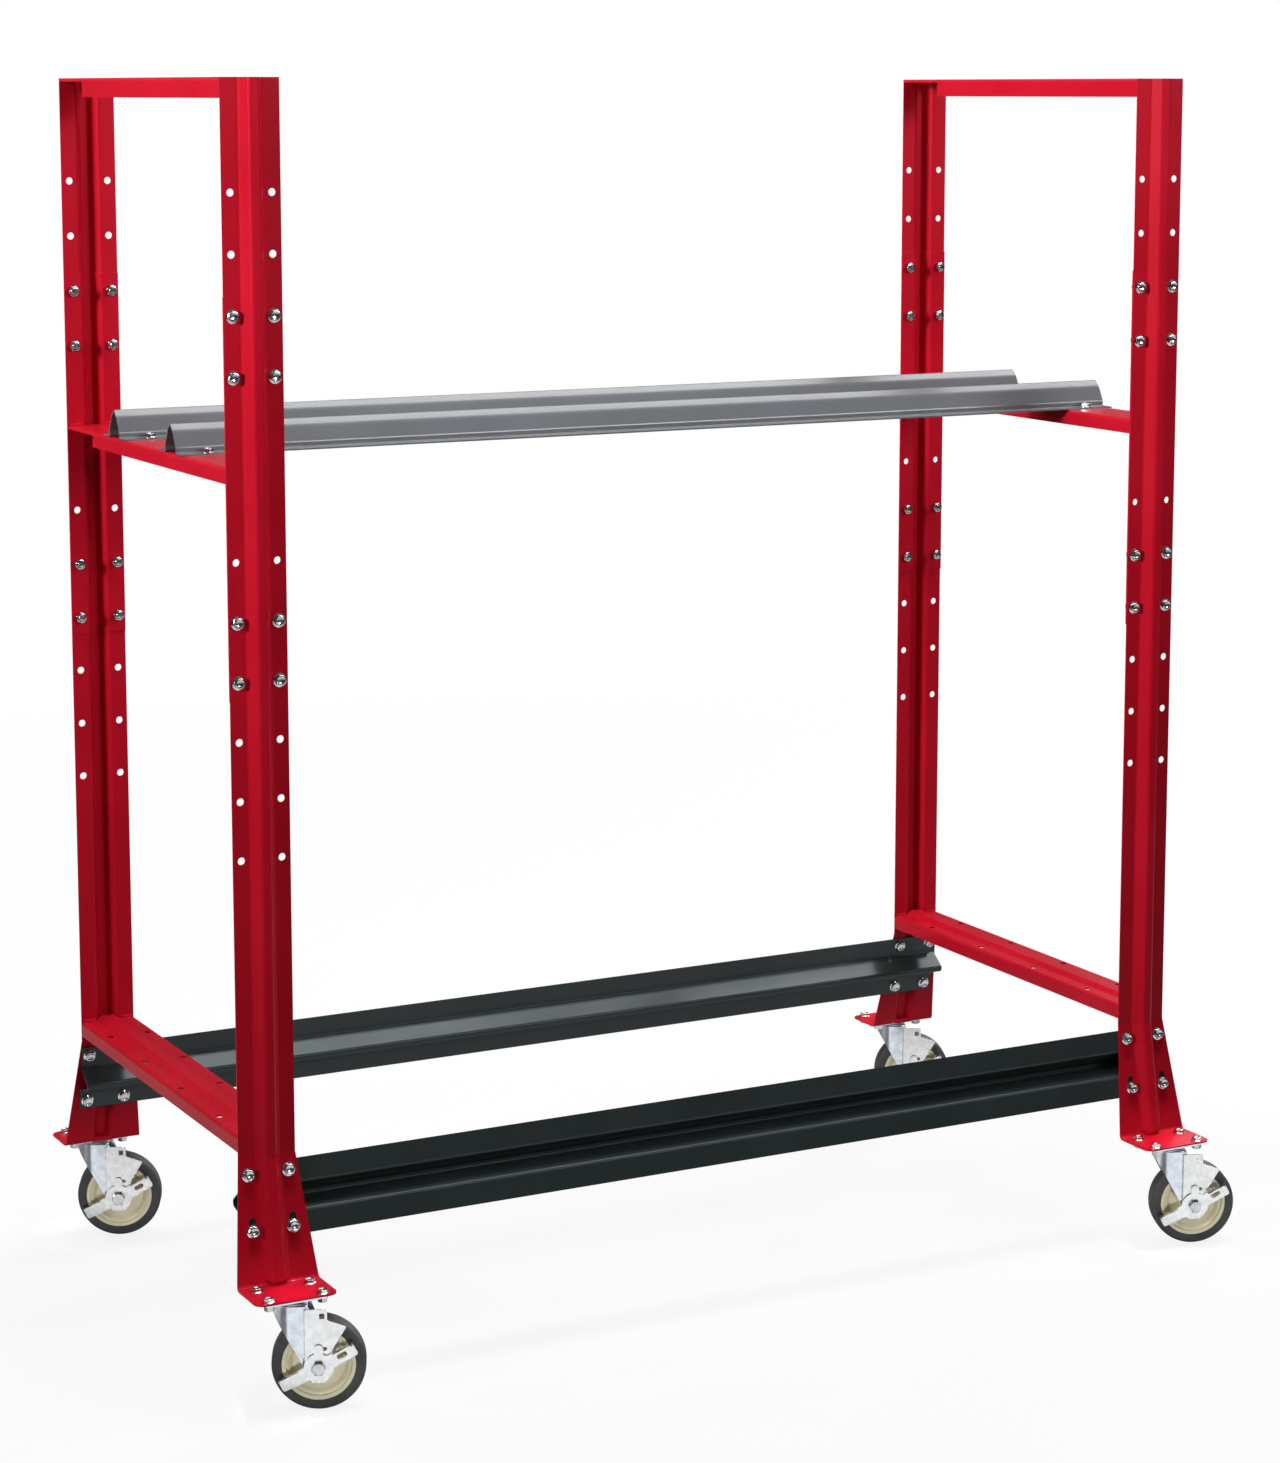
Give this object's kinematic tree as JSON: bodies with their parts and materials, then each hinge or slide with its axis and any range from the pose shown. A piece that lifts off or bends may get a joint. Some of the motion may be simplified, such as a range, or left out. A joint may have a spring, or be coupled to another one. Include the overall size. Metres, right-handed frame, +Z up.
{
  "type": "tire cart",
  "caption": "Rolling rack for tires: bolted end frames of ribbed sheet posts, ridged lower and upper rails, and swivel casters with rocking side brakes.",
  "frame": {"origin": "middle of the footprint on the floor", "axes": "+X along the rails to the right, +Y to the rear, +Z up"},
  "size_m": [1.5984, 0.9028, 1.767],
  "materials": {
    "red_paint": "gloss powder coat",
    "black_paint": "satin powder coat",
    "grey_paint": "satin powder coat",
    "zinc": "bright zinc plate",
    "caster_steel": "bright zinc plate",
    "brake_steel": "dull zinc plate",
    "wheel_core": "moulded",
    "tread": "matt"
  },
  "bodies": {
    "frame": {"front_left_leg": "red_paint", "front_left_upper_post": "red_paint", "front_left_splice": "red_paint", "front_left_caster_plate": "caster_steel", "front_right_leg": "red_paint", "front_right_upper_post": "red_paint", "front_right_splice": "red_paint", "front_right_caster_plate": "caster_steel", "rear_left_leg": "red_paint", "rear_left_upper_post": "red_paint", "rear_left_splice": "red_paint", "rear_left_caster_plate": "caster_steel", "rear_right_leg": "red_paint", "rear_right_upper_post": "red_paint", "rear_right_splice": "red_paint", "rear_right_caster_plate": "caster_steel", "left_shelf_bearer": "red_paint", "left_top_bar": "red_paint", "left_bottom_brace": "red_paint", "right_shelf_bearer": "red_paint", "right_top_bar": "red_paint", "right_bottom_brace": "red_paint", "front_lower_rail": "black_paint", "front_upper_rail": "grey_paint", "rear_lower_rail": "black_paint", "rear_upper_rail": "grey_paint", "splice_bolts": "zinc", "lower_rail_bolts": "zinc", "upper_rail_bolts": "zinc", "frame_nuts": "zinc", "caster_bolts": "zinc", "caster_nuts": "zinc", "kingpins": "zinc", "swivel_balls": "zinc"},
    "front_left_swivel": {"front_left_fork": "caster_steel", "front_left_axle": "zinc"},
    "front_left_wheel": {"front_left_wheel_core": "wheel_core", "front_left_tread": "tread"},
    "front_left_lever": {"front_left_brake_lever": "brake_steel"},
    "front_left_shoe": {"front_left_brake_shoe": "brake_steel"},
    "front_right_swivel": {"front_right_fork": "caster_steel", "front_right_axle": "zinc"},
    "front_right_wheel": {"front_right_wheel_core": "wheel_core", "front_right_tread": "tread"},
    "front_right_lever": {"front_right_brake_lever": "brake_steel"},
    "front_right_shoe": {"front_right_brake_shoe": "brake_steel"},
    "rear_left_swivel": {"rear_left_fork": "caster_steel", "rear_left_axle": "zinc"},
    "rear_left_wheel": {"rear_left_wheel_core": "wheel_core", "rear_left_tread": "tread"},
    "rear_left_lever": {"rear_left_brake_lever": "brake_steel"},
    "rear_left_shoe": {"rear_left_brake_shoe": "brake_steel"},
    "rear_right_swivel": {"rear_right_fork": "caster_steel", "rear_right_axle": "zinc"},
    "rear_right_wheel": {"rear_right_wheel_core": "wheel_core", "rear_right_tread": "tread"},
    "rear_right_lever": {"rear_right_brake_lever": "brake_steel"},
    "rear_right_shoe": {"rear_right_brake_shoe": "brake_steel"}
  },
  "joints": [
    {"name": "front_left_swivel_turn", "type": "hinge", "parent": "frame", "child": "front_left_swivel", "pos_m": [-0.74024, -0.38238, 0.14], "axis": [0, 0, 1], "continuous": true},
    {"name": "front_left_wheel_spin", "type": "hinge", "parent": "front_left_swivel", "child": "front_left_wheel", "pos_m": [-0.70552, -0.39784, 0.0635], "axis": [0.4067, 0.9135, 0], "continuous": true},
    {"name": "front_left_lever_rock", "type": "hinge", "parent": "front_left_swivel", "child": "front_left_lever", "pos_m": [-0.70552, -0.39784, 0.0635], "axis": [0.4067, 0.9135, 0], "range_deg": [0, 20]},
    {"name": "front_left_shoe_slide", "type": "slide", "parent": "front_left_swivel", "child": "front_left_shoe", "axis": [0, 0, -1], "range_m": [0, 0.0016]},
    {"name": "front_right_swivel_turn", "type": "hinge", "parent": "frame", "child": "front_right_swivel", "pos_m": [0.70176, -0.38238, 0.14], "axis": [0, 0, 1], "continuous": true},
    {"name": "front_right_wheel_spin", "type": "hinge", "parent": "front_right_swivel", "child": "front_right_wheel", "pos_m": [0.73648, -0.39784, 0.0635], "axis": [0.4067, 0.9135, 0], "continuous": true},
    {"name": "front_right_lever_rock", "type": "hinge", "parent": "front_right_swivel", "child": "front_right_lever", "pos_m": [0.73648, -0.39784, 0.0635], "axis": [0.4067, 0.9135, 0], "range_deg": [0, 20]},
    {"name": "front_right_shoe_slide", "type": "slide", "parent": "front_right_swivel", "child": "front_right_shoe", "axis": [0, 0, -1], "range_m": [0, 0.0016]},
    {"name": "rear_left_swivel_turn", "type": "hinge", "parent": "frame", "child": "rear_left_swivel", "pos_m": [-0.74024, 0.41912, 0.14], "axis": [0, 0, 1], "continuous": true},
    {"name": "rear_left_wheel_spin", "type": "hinge", "parent": "rear_left_swivel", "child": "rear_left_wheel", "pos_m": [-0.70552, 0.40366, 0.0635], "axis": [0.4067, 0.9135, 0], "continuous": true},
    {"name": "rear_left_lever_rock", "type": "hinge", "parent": "rear_left_swivel", "child": "rear_left_lever", "pos_m": [-0.70552, 0.40366, 0.0635], "axis": [0.4067, 0.9135, 0], "range_deg": [0, 20]},
    {"name": "rear_left_shoe_slide", "type": "slide", "parent": "rear_left_swivel", "child": "rear_left_shoe", "axis": [0, 0, -1], "range_m": [0, 0.0016]},
    {"name": "rear_right_swivel_turn", "type": "hinge", "parent": "frame", "child": "rear_right_swivel", "pos_m": [0.70176, 0.41912, 0.14], "axis": [0, 0, 1], "continuous": true},
    {"name": "rear_right_wheel_spin", "type": "hinge", "parent": "rear_right_swivel", "child": "rear_right_wheel", "pos_m": [0.73648, 0.40366, 0.0635], "axis": [0.4067, 0.9135, 0], "continuous": true},
    {"name": "rear_right_lever_rock", "type": "hinge", "parent": "rear_right_swivel", "child": "rear_right_lever", "pos_m": [0.73648, 0.40366, 0.0635], "axis": [0.4067, 0.9135, 0], "range_deg": [0, 20]},
    {"name": "rear_right_shoe_slide", "type": "slide", "parent": "rear_right_swivel", "child": "rear_right_shoe", "axis": [0, 0, -1], "range_m": [0, 0.0016]}
  ],
  "couplings": [
    {"joint": "front_left_shoe_slide", "follows": "front_left_lever_rock", "m_per_rad": 0.004297},
    {"joint": "front_right_shoe_slide", "follows": "front_right_lever_rock", "m_per_rad": 0.004297},
    {"joint": "rear_left_shoe_slide", "follows": "rear_left_lever_rock", "m_per_rad": 0.004297},
    {"joint": "rear_right_shoe_slide", "follows": "rear_right_lever_rock", "m_per_rad": 0.004297}
  ]
}
